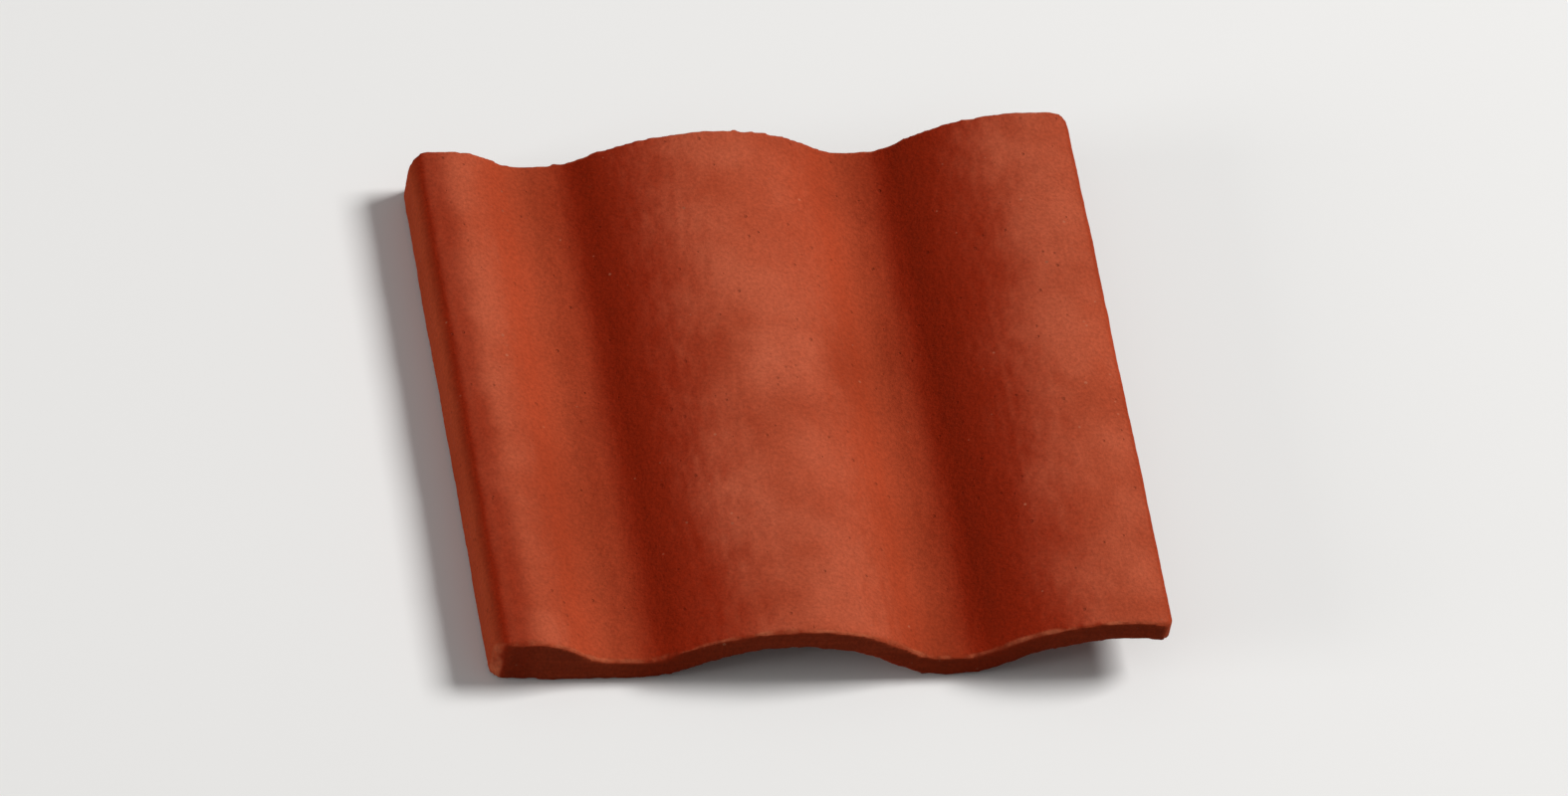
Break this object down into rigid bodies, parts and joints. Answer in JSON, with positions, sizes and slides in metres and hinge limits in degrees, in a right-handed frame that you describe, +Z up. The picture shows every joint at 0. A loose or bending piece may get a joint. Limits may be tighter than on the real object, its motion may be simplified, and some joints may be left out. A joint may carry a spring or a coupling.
{
  "type": "clay roof tile",
  "caption": "Near-square corrugated roof tile of fired clay, with a low solid bead on one side, a rounded middle roll, a higher roll on the lap side and flat valleys between.",
  "frame": {"origin": "centre of the tile's outline in plan, on the plane that it lies on", "axes": "+Z up out of the top face, +Y along the rolls, +X across them towards the higher lap roll"},
  "size_m": [0.25, 0.248, 0.03],
  "materials": {
    "fired_clay": "unglazed, matt"
  },
  "bodies": {
    "root": {"tile_body": "fired_clay"}
  },
  "joints": []
}
